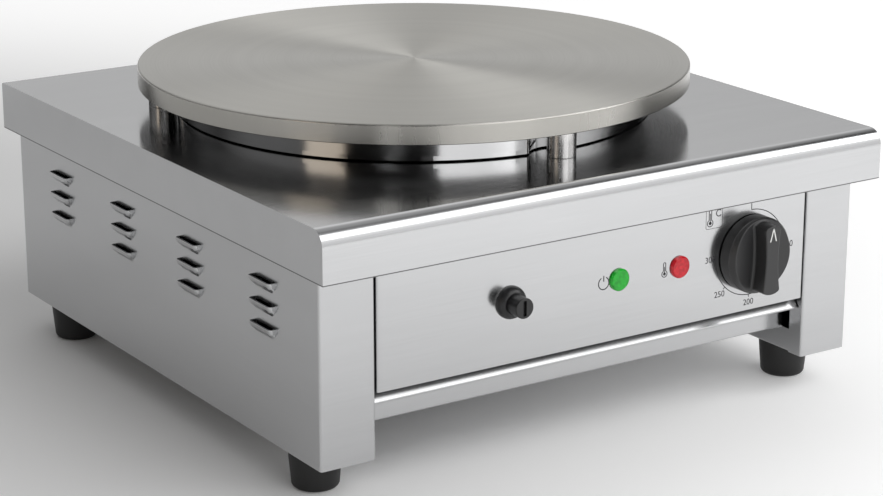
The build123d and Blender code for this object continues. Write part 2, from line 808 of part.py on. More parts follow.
with BuildPart() as knob_grip:
    with BuildSketch(facing(knob_x, control_z, front - hollow_depth - 2 * knob_gap)) as grip_plan:
        with BuildLine() as grip_border:
            ThreePointArc((-grip_top_half, grip_shoulder), (0, grip_top),
                          (grip_top_half, grip_shoulder))
            ThreePointArc((grip_top_half, grip_shoulder),
                          (grip_waist_half, (grip_shoulder + grip_heel) / 2),
                          (grip_foot_half, grip_heel))
            ThreePointArc((grip_foot_half, grip_heel), (0, -grip_foot),
                          (-grip_foot_half, grip_heel))
            ThreePointArc((-grip_foot_half, grip_heel),
                          (-grip_waist_half, (grip_shoulder + grip_heel) / 2),
                          (-grip_top_half, grip_shoulder))
        make_face(grip_border.edges())
        fillet(grip_plan.vertices(), radius=grip_corner_radius)
    extrude(amount=knob_reach - hollow_depth - 2 * knob_gap)
    fillet(knob_grip.faces().sort_by(Axis.Y)[0].edges(), radius=grip_edge_round)

with BuildPart() as temperature_knob:
    add(knob_crown.part)
    add(knob_grip.part)
    grip_roots = [edge for edge in temperature_knob.edges()
                  if edge.length > crown_radius
                  and abs(edge.position_at(0.5).X - knob_x) < crown_radius / 2
                  and skirt_height < front - edge.position_at(0.5).Y < crown_height]
    fillet(grip_roots, radius=grip_root_round)
    with BuildSketch(facing(knob_x, control_z, front - knob_gap)):
        Circle(hollow_radius)
        Circle(hub_radius, mode=Mode.SUBTRACT)
    extrude(amount=hollow_depth, mode=Mode.SUBTRACT)
    with BuildSketch(facing(knob_x, control_z, front - knob_gap)):
        Circle(shaft_radius + running_gap)
        with Locations((0, shaft_flat + running_gap)):
            Rectangle(3 * shaft_radius, shaft_radius, align=(Align.CENTER, Align.MIN),
                      mode=Mode.SUBTRACT)
    extrude(amount=shaft_tip + seat_gap - knob_gap, mode=Mode.SUBTRACT)
save(temperature_knob, "temperature_knob")

# ---------------------------------------------------------------- thermostat and its shaft
shaft_foot = thermostat_depth / 2
flat_start = knob_gap / 2

with BuildPart() as thermostat_shaft:
    with BuildSketch(facing(knob_x, control_z, panel_back + shaft_foot)):
        Circle(shaft_radius)
    extrude(amount=shaft_foot + sheet + shaft_tip)
    chamfer(thermostat_shaft.edges().sort_by(Axis.Y)[0], length=edge_break)
    with BuildSketch(facing(knob_x, control_z, front - flat_start)):
        with Locations((0, shaft_flat)):
            Rectangle(3 * shaft_radius, shaft_radius, align=(Align.CENTER, Align.MIN))
    extrude(amount=shaft_tip, mode=Mode.SUBTRACT)
save(thermostat_shaft, "thermostat_shaft")

blade_width = 6.3
blade_thickness = 0.8
blade_length = 9.0
thermostat_screw_length = 6.0
thermostat_corner = 3.0
thermostat_step = 1.0        # case inside its flange, all round
blade_spacing = (16.0, 26.0)

with BuildPart() as thermostat:
    with BuildSketch(facing(knob_x, control_z, panel_back)):
        RectangleRounded(thermostat_width, thermostat_height, radius=thermostat_corner)
        with Locations((-thermostat_screw_offset, 0), (thermostat_screw_offset, 0)):
            Circle(m4_radius, mode=Mode.SUBTRACT)
    extrude(amount=-thermostat_flange)
    with BuildSketch(facing(knob_x, control_z, panel_back + thermostat_flange)):
        RectangleRounded(thermostat_width - 2 * thermostat_step,
                         thermostat_height - 2 * thermostat_step,
                         radius=thermostat_corner - thermostat_step)
    extrude(amount=thermostat_flange - thermostat_depth)
    with BuildSketch(facing(knob_x, control_z, panel_back)):
        Circle(shaft_radius + running_gap)
        with Locations((-thermostat_screw_offset, 0), (thermostat_screw_offset, 0)):
            Circle(m4_radius)
    extrude(amount=-thermostat_screw_length - seat_gap, mode=Mode.SUBTRACT)
    with BuildSketch(facing(knob_x, control_z, panel_back)):
        Circle(shaft_radius + running_gap)
    extrude(amount=-shaft_foot - seat_gap, mode=Mode.SUBTRACT)
    with BuildSketch(facing(knob_x, control_z, thermostat_back)):
        with GridLocations(*blade_spacing, 2, 2):
            Rectangle(blade_width, blade_thickness)
    extrude(amount=-blade_length)
save(thermostat, "thermostat")

with BuildPart() as thermostat_screws:
    for side in (-1, 1):
        with Locations(facing(knob_x + side * thermostat_screw_offset, control_z)):
            add(m4_head)
            Cylinder(m4_radius, thermostat_screw_length,
                     align=(Align.CENTER, Align.CENTER, Align.MAX))
save(thermostat_screws, "thermostat_screws")

# ---------------------------------------------------------------- pilot lamps
lens_chamfer = 1.0
lens_stem = 7.0
lamp_wall = 0.9
lamp_bore = lamp_barrel_radius - lamp_wall
collar_reach = 1.2
collar_length = 2.4
neon_radius = 2.0
neon_length = 13.0
lamp_blade_width = 4.8
lamp_blade_spacing = 5.0

for colour, lamp_x in (("green", green_lamp_x), ("red", red_lamp_x)):
    lamp_axis = reach_axis(lamp_x, control_z)
    with BuildPart() as lens:
        with BuildSketch(turned_plane(lamp_x, control_z)):
            outline((0, lens_height), (lens_radius - lens_chamfer, lens_height),
                    (lens_radius, lens_height - lens_chamfer), (lens_radius, 0),
                    (lamp_bore - seat_gap, 0), (lamp_bore - seat_gap, -lens_stem), (0, -lens_stem))
        revolve(axis=lamp_axis)
    save(lens, f"{colour}_lamp_lens")

    with BuildPart() as lamp_body:
        with BuildSketch(turned_plane(lamp_x, control_z)):
            outline((lamp_bore, 0), (lamp_barrel_radius, 0), (lamp_barrel_radius, -sheet),
                    (lamp_barrel_radius + collar_reach, -sheet - seat_gap),
                    (lamp_barrel_radius, -sheet - collar_length),
                    (lamp_barrel_radius, -lamp_barrel_length), (0, -lamp_barrel_length),
                    (0, lamp_wall - lamp_barrel_length), (lamp_bore, lamp_wall - lamp_barrel_length))
        revolve(axis=lamp_axis)
        with BuildSketch(facing(lamp_x, control_z, front + lamp_barrel_length)):
            with GridLocations(lamp_blade_spacing, 0, 2, 1):
                Rectangle(blade_thickness, lamp_blade_width)
        extrude(amount=-blade_length)
    save(lamp_body, f"{colour}_lamp_body")

with BuildPart() as neon_bulbs:
    for lamp_x in (green_lamp_x, red_lamp_x):
        with BuildSketch(facing(lamp_x, control_z, front + lamp_barrel_length - lamp_wall)):
            Circle(neon_radius)
        extrude(amount=neon_length)
    fillet(neon_bulbs.faces().sort_by(Axis.Y)[:2].edges(), radius=0.85 * neon_radius)
save(neon_bulbs, "neon_bulbs")

# ---------------------------------------------------------------- fuse holder
fuse_axis = reach_axis(fuse_x, control_z)
cap_depth = cap_stem - bezel_height
cap_bore = cap_radius + running_gap
fuse_bore = fuse_radius + 2 * hole_gap
fuse_inner_end = cap_depth - fuse_seat + fuse_length
slot_width = 2.6
slot_length = 10.4
slot_depth = 2.0
fuse_blade = 8.0
fuse_blade_spacing = 8.0
bezel_lip = 0.9
bezel_foot = 0.5
cap_edge_round = 0.8
holder_nut_flats = 24.0
holder_nut_height = 5.0

with BuildPart() as fuse_holder:
    with BuildSketch(turned_plane(fuse_x, control_z)):
        with BuildLine() as holder_side:
            Line((cap_bore, bezel_height), (cap_bore + bezel_lip, bezel_height))
            ThreePointArc((cap_bore + bezel_lip, bezel_height),
                          (bezel_radius - bezel_lip, 0.62 * bezel_height),
                          (bezel_radius, bezel_foot))
            Polyline((bezel_radius, bezel_foot), (bezel_radius, 0), (barrel_radius, 0),
                     (barrel_radius, -barrel_length), (0, -barrel_length),
                     (0, -fuse_inner_end), (fuse_bore, -fuse_inner_end), (fuse_bore, -cap_depth),
                     (cap_bore, -cap_depth), (cap_bore, bezel_height))
        make_face(holder_side.edges())
    revolve(axis=fuse_axis)
    with BuildSketch(facing(fuse_x, control_z, front + barrel_length)):
        with GridLocations(fuse_blade_spacing, 0, 2, 1):
            Rectangle(blade_thickness, blade_width)
    extrude(amount=-fuse_blade)
save(fuse_holder, "fuse_holder")

with BuildPart() as fuse_holder_nut:
    with BuildSketch(facing(fuse_x, control_z, panel_back)):
        RegularPolygon(holder_nut_flats / 2, 6, major_radius=False)
        Circle(barrel_radius, mode=Mode.SUBTRACT)
    extrude(amount=-holder_nut_height)
save(fuse_holder_nut, "fuse_holder_nut")

with BuildPart() as fuse_cap:
    with BuildSketch(facing(fuse_x, control_z, front + cap_depth - seat_gap)):
        Circle(cap_radius)
    extrude(amount=cap_reach + cap_depth - seat_gap)
    fillet(fuse_cap.edges().sort_by(Axis.Y)[0], radius=cap_edge_round)
    with BuildSketch(facing(fuse_x, control_z, front - cap_reach)):
        Rectangle(slot_width, slot_length)
    extrude(amount=-slot_depth, mode=Mode.SUBTRACT)
    with BuildSketch(facing(fuse_x, control_z, front + cap_depth)):
        Circle(fuse_radius + running_gap)
    extrude(amount=fuse_seat + seat_gap, mode=Mode.SUBTRACT)
save(fuse_cap, "fuse_cap")

fuse_end_length = 6.0
fuse_step = 0.3

with BuildPart() as fuse_link:
    with BuildSketch(turned_plane(fuse_x, control_z)):
        outline((0, fuse_seat - cap_depth), (fuse_radius, fuse_seat - cap_depth),
                (fuse_radius, fuse_seat - cap_depth - fuse_end_length),
                (fuse_radius - fuse_step, fuse_seat - cap_depth - fuse_end_length),
                (fuse_radius - fuse_step, fuse_end_length - fuse_inner_end),
                (fuse_radius, fuse_end_length - fuse_inner_end),
                (fuse_radius, seat_gap - fuse_inner_end), (0, seat_gap - fuse_inner_end))
    revolve(axis=fuse_axis)
save(fuse_link, "fuse_link")

# ---------------------------------------------------------------- cable gland at the rear
gland_flange = 6.0
dome_start = rear_panel_face + gland_flange
gland_locknut_height = 5.0
gland_locknut_flats = 24.0
gland_barrel_length = 16.0
gland_end = rear + gland_reach
dome_radius = 10.4
dome_mouth = 6.8
seal_radius = 6.4
dome_flutes = 12
flute_radius = 1.3
flute_offset = 0.7           # flute centres outside the dome nut

with BuildPart() as cable_gland:
    with BuildSketch(rearward(gland_x, gland_z, rear_panel_face)):
        RegularPolygon(gland_hex / 2, 6, major_radius=False)
    extrude(amount=gland_flange)
    with BuildSketch(rearward(gland_x, gland_z, rear_panel_face)):
        Circle(gland_barrel_radius)
    extrude(amount=-gland_barrel_length)
    with BuildSketch(rearward(gland_x, gland_z, rear_panel_face - gland_barrel_length)):
        Circle(seal_radius)
    extrude(amount=gland_barrel_length + gland_flange, mode=Mode.SUBTRACT)
save(cable_gland, "cable_gland")

with BuildPart() as gland_dome_nut:
    with BuildSketch(rearward(gland_x, gland_z, dome_start)):
        Circle(dome_radius)
    extrude(amount=gland_end - dome_start)
    fillet(gland_dome_nut.edges().sort_by(Axis.Y)[-1], radius=dome_radius - dome_mouth)
    with BuildSketch(rearward(gland_x, gland_z, dome_start)):
        with PolarLocations(dome_radius + flute_offset, dome_flutes):
            Circle(flute_radius)
    extrude(amount=0.55 * (gland_end - dome_start), mode=Mode.SUBTRACT)
    with BuildSketch(rearward(gland_x, gland_z, dome_start)):
        Circle(seal_radius)
    extrude(amount=gland_end - dome_start, mode=Mode.SUBTRACT)
save(gland_dome_nut, "gland_dome_nut")

with BuildPart() as gland_seal:
    with BuildSketch(rearward(gland_x, gland_z, rear_panel_face)):
        Circle(seal_radius)
        Circle(gland_bore, mode=Mode.SUBTRACT)
    extrude(amount=gland_end - rear_panel_face - seal_recess)
save(gland_seal, "gland_seal")

with BuildPart() as gland_locknut:
    with BuildSketch(rearward(gland_x, gland_z, rear_panel_back)):
        RegularPolygon(gland_locknut_flats / 2, 6, major_radius=False)
        Circle(gland_barrel_radius, mode=Mode.SUBTRACT)
    extrude(amount=-gland_locknut_height)
save(gland_locknut, "gland_locknut")

# ---------------------------------------------------------------- wiring terminals
terminal_y = rear - terminal_setback
shield_top = shield_z + sheet
terminal_pitch = 12.0
terminal_depth = 24.0
terminal_height = 18.0
terminal_ways = 3
terminal_row_spacing = 10.0
terminal_corner = 1.5
terminal_well = 8.0          # depth of the screw wells
terminal_screw_height = 3.0
terminal_slot = 0.8

with BuildPart() as terminal_block:
    with BuildSketch(level(shield_top, terminal_x, terminal_y)):
        Rectangle(terminal_ways * terminal_pitch, terminal_depth)
    extrude(amount=0.55 * terminal_height)
    with BuildSketch(level(shield_top, terminal_x, terminal_y)):
        with GridLocations(terminal_pitch, 0, terminal_ways, 1):
            RectangleRounded(terminal_pitch - terminal_corner, terminal_depth - terminal_pitch / 3,
                             radius=terminal_corner)
    extrude(amount=terminal_height)
    with BuildSketch(level(shield_top + terminal_height, terminal_x, terminal_y)):
        with GridLocations(terminal_pitch, terminal_row_spacing, terminal_ways, 2):
            Circle(m5_radius)
    extrude(amount=-terminal_well, mode=Mode.SUBTRACT)
save(terminal_block, "terminal_block")

with BuildPart() as terminal_screws:
    with BuildSketch(level(shield_top + terminal_height - terminal_well, terminal_x, terminal_y)):
        with GridLocations(terminal_pitch, terminal_row_spacing, terminal_ways, 2):
            Circle(m5_radius)
            Rectangle(3 * m5_radius, terminal_slot, mode=Mode.SUBTRACT)
    extrude(amount=terminal_screw_height)
    with BuildSketch(level(shield_top + terminal_height - terminal_well, terminal_x, terminal_y)):
        with GridLocations(terminal_pitch, terminal_row_spacing, terminal_ways, 2):
            Circle(m5_radius)
    extrude(amount=terminal_screw_height / 2)
save(terminal_screws, "terminal_screws")

# ---------------------------------------------------------------- crumb tray
tray_rear = tray_front + tray_length
tray_fold = tray_sheet / 2
nose_tip = tray_front - tray_nose_reach
nose_run = tray_nose_rise / tan(radians(tray_nose_slope))
tray_corner_gap = 2.0

with BuildPart() as crumb_tray:
    folded(Plane.YZ.offset(-tray_half_width),
           ((tray_rear - tray_fold, tray_top), (tray_rear - tray_fold, tray_bottom + tray_fold),
            (tray_front + tray_fold, tray_bottom + tray_fold),
            (tray_front + tray_fold, tray_top + tray_fold),
            (nose_tip + 2 * tray_fold, tray_top + tray_fold),
            (nose_tip + 2 * tray_fold + nose_run, tray_top + tray_nose_rise)),
           2 * tray_half_width, thickness=tray_sheet, inside_radius=tray_fold_radius)
    for side in (-1, 1):
        with BuildSketch(level(tray_bottom)):
            with Locations((side * (tray_half_width - tray_fold), (tray_front + tray_rear) / 2)):
                Rectangle(tray_sheet, tray_length - 2 * tray_corner_gap)
        extrude(amount=tray_top - tray_bottom)
save(crumb_tray, "crumb_tray")

# ---------------------------------------------------------------- feet
foot_recess_radius = 6.0
foot_recess_depth = 10.0
foot_nut_flats = 8.0
flange_top = bottom + sheet

for name, (x, y) in foot_places.items():
    with BuildPart() as foot:
        with BuildSketch(standing(x, y)):
            outline((m5_radius + hole_gap, foot_height), (foot_top_radius, foot_height),
                    (foot_bottom_radius, 0), (foot_recess_radius, 0),
                    (foot_recess_radius, foot_recess_depth),
                    (m5_radius + hole_gap, foot_recess_depth))
        revolve(axis=upright_axis(x, y))
        fillet(foot.edges().filter_by(GeomType.CIRCLE).filter_by(
            lambda edge: abs(edge.radius - foot_bottom_radius) < seat_gap), radius=foot_edge_round)
    save(foot, name)

with BuildPart() as foot_screws:
    for x, y in foot_places.values():
        with Locations(Plane(origin=(x, y, foot_recess_depth), x_dir=(1, 0, 0), z_dir=(0, 0, -1))):
            add(m5_head)
            Cylinder(m5_radius, flange_top + nut_height + stud_tail - foot_recess_depth,
                     align=(Align.CENTER, Align.CENTER, Align.MAX))
save(foot_screws, "foot_screws")

with BuildPart() as foot_nuts:
    with BuildSketch(level(flange_top)):
        with Locations(*foot_places.values()):
            RegularPolygon(foot_nut_flats / 2, 6, major_radius=False)
            Circle(m5_radius, mode=Mode.SUBTRACT)
    extrude(amount=nut_height)
save(foot_nuts, "foot_nuts")
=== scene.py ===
import json
import math

import bmesh
import bpy
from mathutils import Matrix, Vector


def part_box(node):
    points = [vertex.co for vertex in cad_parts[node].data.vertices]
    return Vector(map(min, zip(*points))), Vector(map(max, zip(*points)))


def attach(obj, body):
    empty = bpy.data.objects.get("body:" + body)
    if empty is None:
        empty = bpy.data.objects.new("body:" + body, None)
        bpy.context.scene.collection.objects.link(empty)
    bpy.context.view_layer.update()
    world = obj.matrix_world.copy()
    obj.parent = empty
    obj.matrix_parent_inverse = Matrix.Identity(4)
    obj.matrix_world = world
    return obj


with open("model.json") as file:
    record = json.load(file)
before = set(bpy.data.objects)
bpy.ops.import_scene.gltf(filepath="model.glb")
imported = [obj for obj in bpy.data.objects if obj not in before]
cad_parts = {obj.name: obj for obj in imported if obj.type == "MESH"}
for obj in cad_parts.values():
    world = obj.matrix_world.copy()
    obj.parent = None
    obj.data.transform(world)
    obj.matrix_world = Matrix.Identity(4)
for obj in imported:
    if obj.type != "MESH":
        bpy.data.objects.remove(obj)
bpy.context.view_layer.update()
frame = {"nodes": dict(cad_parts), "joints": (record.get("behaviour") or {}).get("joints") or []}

nodes = frame["nodes"]
joints = {joint["name"]: joint for joint in frame["joints"]}
MM = 0.001


def middle(name):
    """Centre of a CAD node's box."""
    low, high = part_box(name)
    return (low + high) / 2


# ---------------------------------------------------------------- places read from the frame
PANEL_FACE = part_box("control_panel")[0].y
DECK_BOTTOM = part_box("deck")[0].z
DECK_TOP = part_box("deck")[1].z
KNOB_AXIS = Vector(joints["knob_turn"]["pos_m"])
PLATE_CENTRE = middle("hotplate")
GREEN_LAMP = middle("green_lamp_lens")
RED_LAMP = middle("red_lamp_lens")

# ---------------------------------------------------------------- camera at the photograph's angle
CAMERA_PLACE = (-0.9575, PANEL_FACE - 1.2603, 0.6219)
CAMERA_YAW = 33.342
CAMERA_PITCH = 17.026
CAMERA_LENS = 101.57
SENSOR_WIDTH = 36.0
CLIP_START, CLIP_END = 0.05, 60.0


def make_camera():
    data = bpy.data.cameras.new("camera")
    data.lens = CAMERA_LENS
    data.sensor_width = SENSOR_WIDTH
    data.clip_start = CLIP_START
    data.clip_end = CLIP_END
    camera = bpy.data.objects.new("camera", data)
    camera.location = CAMERA_PLACE
    camera.rotation_euler = (math.radians(90 - CAMERA_PITCH), 0, -math.radians(CAMERA_YAW))
    bpy.context.scene.collection.objects.link(camera)
    bpy.context.scene.camera = camera


# ---------------------------------------------------------------- node tools
def feed(tree, socket, value):
    """Sets an input to a constant, or to what another node gives."""
    if isinstance(value, bpy.types.NodeSocket):
        tree.links.new(value, socket)
    else:
        socket.default_value = value


def maths(tree, operation, first, second):
    """Result of a sum, product or comparison of two values."""
    made = tree.nodes.new("ShaderNodeMath")
    made.operation = operation
    feed(tree, made.inputs[0], first)
    feed(tree, made.inputs[1], second)
    return made.outputs[0]


def vector_maths(tree, operation, vector, other=None):
    """Result of a vector operation: a number for a length or a dot product, else a vector."""
    made = tree.nodes.new("ShaderNodeVectorMath")
    made.operation = operation
    feed(tree, made.inputs[0], vector)
    if other is not None:
        feed(tree, made.inputs[1], other)
    return made.outputs["Value" if operation in ("LENGTH", "DOT_PRODUCT") else "Vector"]


def map_range(tree, value, start, end, low, high, interpolation="LINEAR"):
    """Ramp that turns start into low and end into high, and stays level outside them."""
    made = tree.nodes.new("ShaderNodeMapRange")
    made.interpolation_type = interpolation
    for name, number in (("From Min", start), ("From Max", end), ("To Min", low), ("To Max", high)):
        made.inputs[name].default_value = number
    tree.links.new(value, made.inputs["Value"])
    return made.outputs["Result"]


def seen_rays(tree):
    """1 for what is seen directly, in metal or through glass."""
    path = tree.nodes.new("ShaderNodeLightPath")
    seen = path.outputs["Is Camera Ray"]
    for other in ("Is Glossy Ray", "Is Transmission Ray"):
        seen = maths(tree, "MAXIMUM", seen, path.outputs[other])
    return seen


# ---------------------------------------------------------------- studio
LAMPS_AIM_AT = Vector((0.0, 0.0, 0.12))

GLOW_CORE = 5.0                   # degrees from its middle within which a glow is level
GLOW_EDGE = 38.0                  # and where it has faded out
GLOWS = (                         # azimuth, elevation, level in the middle
    (33, 12, 0.74), (140, 12, 1.30), (285, 12, 0.22),
    (33, 48, 0.64), (140, 48, 0.60), (285, 48, 0.15), (335, 48, 0.78), (0, 90, 0.45),
)
PALE_LEVEL = 0.72                 # of the low pale backdrop all round
PALE_TOP = (0.06, 0.14)           # where it fades out, as the sine of the height

FLOOR_HALF = 15.0
FLOOR_PAINT = (0.90, 0.90, 0.90, 1)
# painted light: emission added to the floor where it is seen directly, in metal or through glass;
# it grows away from a point on the object's shadow side, which keeps a painted shade
FLOOR_PAINTED_LIGHT = 0.46
PAINTED_LIGHT_FROM = (-0.45, 0.35, 0.0)    # on the shadow side of the object
PAINTED_LIGHT_START = 0.45                 # metres from there, where the floor is as it is lit
PAINTED_LIGHT_END = 1.35                   # from here on it is lifted in full


def softbox(name, direction, distance, width, height, watts, colour=(1, 1, 1)):
    """Rectangular area light that looks at the object from a direction."""
    data = bpy.data.lights.new(name, "AREA")
    data.shape = "RECTANGLE"
    data.size = width
    data.size_y = height
    data.energy = watts
    data.color = colour
    lamp = bpy.data.objects.new(name, data)
    towards = Vector(direction).normalized()
    lamp.location = LAMPS_AIM_AT + towards * distance
    lamp.rotation_euler = towards.to_track_quat("Z", "Y").to_euler()
    bpy.context.scene.collection.objects.link(lamp)


def seen_from_object(azimuth, elevation):
    """Direction by its clockwise angle from the rear and its height, in degrees."""
    turn, rise = math.radians(azimuth), math.radians(elevation)
    return (math.sin(turn) * math.cos(rise), math.cos(turn) * math.cos(rise), math.sin(rise))


def make_world():
    """Dim room with broad soft glows above a pale backdrop."""
    world = bpy.data.worlds.new("studio")
    bpy.context.scene.world = world
    world.use_nodes = True
    tree = world.node_tree
    tree.nodes.clear()
    direction = tree.nodes.new("ShaderNodeTexCoord").outputs["Generated"]
    core, edge = math.cos(math.radians(GLOW_CORE)), math.cos(math.radians(GLOW_EDGE))
    total = 0.0
    for azimuth, elevation, level in GLOWS:
        facing = vector_maths(tree, "DOT_PRODUCT", direction, seen_from_object(azimuth, elevation))
        glow = map_range(tree, facing, edge, core, 0.0, level, "SMOOTHSTEP")
        total = maths(tree, "ADD", glow, total)
    height = tree.nodes.new("ShaderNodeSeparateXYZ")
    tree.links.new(direction, height.inputs[0])
    fade = map_range(tree, height.outputs["Z"], *PALE_TOP, PALE_LEVEL, 0.0, "SMOOTHSTEP")
    pale = maths(tree, "MULTIPLY", fade, seen_rays(tree))
    background = tree.nodes.new("ShaderNodeBackground")
    output = tree.nodes.new("ShaderNodeOutputWorld")
    tree.links.new(maths(tree, "MAXIMUM", total, pale), background.inputs["Strength"])
    tree.links.new(background.outputs[0], output.inputs["Surface"])


def make_floor():
    """White floor lifted by painted light where it is seen away from the object; near a point on
    the object's shadow side it is left as lit, a painted shade.
    """
    mesh = bpy.data.meshes.new("floor")
    corners = [(x * FLOOR_HALF, y * FLOOR_HALF, 0) for x, y in ((-1, -1), (1, -1), (1, 1), (-1, 1))]
    mesh.from_pydata(corners, [], [(0, 1, 2, 3)])
    floor = bpy.data.objects.new("floor", mesh)
    bpy.context.scene.collection.objects.link(floor)
    paint = bpy.data.materials.new("floor_white")
    paint.use_nodes = True
    tree = paint.node_tree
    shader = tree.nodes["Principled BSDF"]
    shader.inputs["Base Color"].default_value = FLOOR_PAINT
    shader.inputs["Roughness"].default_value = 0.9
    shader.inputs["Specular IOR Level"].default_value = 0.1
    shader.inputs["Emission Color"].default_value = (1, 1, 1, 1)
    place = tree.nodes.new("ShaderNodeTexCoord").outputs["Object"]
    reach = vector_maths(tree, "LENGTH", vector_maths(tree, "SUBTRACT", place, PAINTED_LIGHT_FROM))
    rise = map_range(tree, reach, PAINTED_LIGHT_START, PAINTED_LIGHT_END, 0.0, FLOOR_PAINTED_LIGHT, "SMOOTHSTEP")
    # painted light on the floor, for rays seen directly, in metal or through glass
    painted_light = maths(tree, "MULTIPLY", seen_rays(tree), rise)
    tree.links.new(painted_light, shader.inputs["Emission Strength"])
    mesh.materials.append(paint)


# ---------------------------------------------------------------- material tools
FACES_SIDEWAYS = 0.5              # facing_up below this is the side of a piece
FACES_DOWN = -0.5                 # and below this its underside


class Recipe:
    """One procedural material under construction."""

    def __init__(self, name, colour, roughness, metallic=0.0):
        self.material = bpy.data.materials.new(name)
        self.material.use_nodes = True
        self.tree = self.material.node_tree
        self.shader = self.tree.nodes["Principled BSDF"]
        self.shader.inputs["Base Color"].default_value = (*colour, 1)
        self.shader.inputs["Roughness"].default_value = roughness
        self.shader.inputs["Metallic"].default_value = metallic
        self.colour = colour
        self.roughness = roughness
        self.place = self.tree.nodes.new("ShaderNodeTexCoord").outputs["Object"]
        self.normal = None

    def node(self, kind, **inputs):
        """New node; an underscore in a keyword stands for a space in the input's name."""
        made = self.tree.nodes.new(kind)
        for name, value in inputs.items():
            feed(self.tree, made.inputs[name.replace("_", " ")], value)
        return made

    def noise(self, scale, detail=2.0, roughness=0.5):
        """Noise in the piece's own metres; scale is one number or one for each axis."""
        if not hasattr(scale, "__len__"):
            scale = (scale, scale, scale)
        stretched = vector_maths(self.tree, "MULTIPLY", self.place, scale)
        return self.node("ShaderNodeTexNoise", Vector=stretched, Scale=1.0, Detail=detail,
                         Roughness=roughness).outputs["Fac"]

    def rings(self, centre, scale, detail=2.0):
        """Noise that depends only on the distance from an upright axis."""
        moved = vector_maths(self.tree, "SUBTRACT", self.place, centre)
        flat = vector_maths(self.tree, "MULTIPLY", moved, (1, 1, 0))
        grown = self.add(vector_maths(self.tree, "LENGTH", flat), scale, "MULTIPLY")
        noise = self.node("ShaderNodeTexNoise", Scale=1.0, Detail=detail)
        noise.noise_dimensions = "1D"
        self.tree.links.new(grown, noise.inputs["W"])
        return noise.outputs["Fac"]

    def spread(self, value, low, high, start=0.3, end=0.7):
        """Stretches the usual range of a noise value to another range."""
        return map_range(self.tree, value, start, end, low, high)

    def add(self, first, second, operation="ADD"):
        return maths(self.tree, operation, first, second)

    def vary_roughness(self, *values):
        """Adds the values to the roughness."""
        total = self.roughness
        for value in values:
            total = self.add(total, value)
        self.tree.links.new(total, self.shader.inputs["Roughness"])

    def blend_colours(self, factor, first, second):
        """Makes the colour the first one where the factor is 0 and the second where it is 1."""
        blend = self.node("ShaderNodeMix", Factor=factor)
        blend.data_type = "RGBA"
        feed(self.tree, blend.inputs[6], first)
        feed(self.tree, blend.inputs[7], second)
        self.tree.links.new(blend.outputs[2], self.shader.inputs["Base Color"])

    def vary_colour(self, value, dark, light):
        """Blends the colour between two shades of itself."""
        shades = [(*[min(1.0, part * share) for part in self.colour], 1) for share in (dark, light)]
        self.blend_colours(value, *shades)

    def stain(self, mask, colour):
        """Covers what is there with another colour where the mask is 1."""
        before = self.shader.inputs["Base Color"].links[0].from_socket
        self.blend_colours(mask, before, (*colour, 1))

    def facing_up(self):
        """1 where a face looks up, 0 on upright faces and -1 underneath."""
        normal = self.node("ShaderNodeNewGeometry").outputs["Normal"]
        return self.node("ShaderNodeSeparateXYZ", Vector=normal).outputs["Z"]

    def bump(self, value, strength, distance):
        """Raises the surface by a value. Several bumps add up."""
        made = self.node("ShaderNodeBump", Height=value, Strength=strength, Distance=distance)
        if self.normal is not None:
            self.tree.links.new(self.normal, made.inputs["Normal"])
        self.normal = made.outputs["Normal"]
        self.tree.links.new(self.normal, self.shader.inputs["Normal"])

    def brushed_across(self, direction, anisotropy):
        """Stretches the gloss along a fixed direction, square to the grain."""
        vector = self.node("ShaderNodeCombineXYZ", X=direction[0], Y=direction[1], Z=direction[2])
        self.shader.inputs["Anisotropic"].default_value = anisotropy
        self.tree.links.new(vector.outputs[0], self.shader.inputs["Tangent"])

    def turned(self, anisotropy):
        """Stretches the gloss outwards from the upright axis of the piece, as turning marks do."""
        tangent = self.node("ShaderNodeTangent")
        tangent.direction_type = "RADIAL"
        tangent.axis = "Z"
        self.shader.inputs["Anisotropic"].default_value = anisotropy
        self.shader.inputs["Anisotropic Rotation"].default_value = 0.25
        self.tree.links.new(tangent.outputs[0], self.shader.inputs["Tangent"])


# ---------------------------------------------------------------- materials
STEEL = (0.53, 0.533, 0.54)
# painted shade: dark colour of the painted shadow line along the deck's lower edge
SHADOW_GAP_SHADE = (0.13, 0.13, 0.13)
TURNED_IRON = (0.53, 0.52, 0.49)
# painted shade: the top's colour made darker for the plate's rim
SHADED_RIM_IRON = (0.40, 0.39, 0.365)
CAST_IRON = (0.035, 0.033, 0.031)
GRAIN_FINE = 1300.0               # of the brushing, per metre across it
GRAIN_LONG = 12.0                 # and along it
SMEAR_SHARE = 0.02                # smears follow the grain, but are this much coarser
SMEAR_LEAST = 6.0
# height of the painted shadow line above the deck's lower edge
SHADOW_LINE_HEIGHT = 0.7 * MM


def satin_steel(name, grain, stretch, roughness=0.22, anisotropy=0.5):
    """Brushed stainless steel. The grain is fine across and long along the brushing."""
    recipe = Recipe(name, STEEL, roughness, metallic=1.0)
    lines = recipe.noise(grain, detail=3.0, roughness=0.6)
    clouds = recipe.noise(5.0)
    smears = recipe.noise([part * SMEAR_SHARE + SMEAR_LEAST for part in grain], detail=3.0)
    recipe.vary_roughness(recipe.spread(lines, -0.02, 0.02), recipe.spread(clouds, -0.01, 0.015))
    recipe.vary_colour(recipe.add(recipe.spread(lines, 0.0, 0.6), recipe.spread(smears, 0.0, 0.4)),
                       dark=0.955, light=1.045)
    recipe.bump(lines, strength=0.02, distance=0.1 * MM)
    recipe.brushed_across(stretch, anisotropy)
    return recipe


def deck_steel(name, grain, stretch, roughness, anisotropy):
    """Brushed steel with a painted shadow line: a dark band along the lower edge of the deck's
    aprons.
    """
    recipe = satin_steel(name, grain, stretch, roughness, anisotropy)
    height = recipe.node("ShaderNodeSeparateXYZ", Vector=recipe.place).outputs["Z"]
    # painted shadow line: the lowest strip of the aprons is coloured dark
    recipe.stain(recipe.add(height, DECK_BOTTOM + SHADOW_LINE_HEIGHT, "LESS_THAN"), SHADOW_GAP_SHADE)
    return recipe


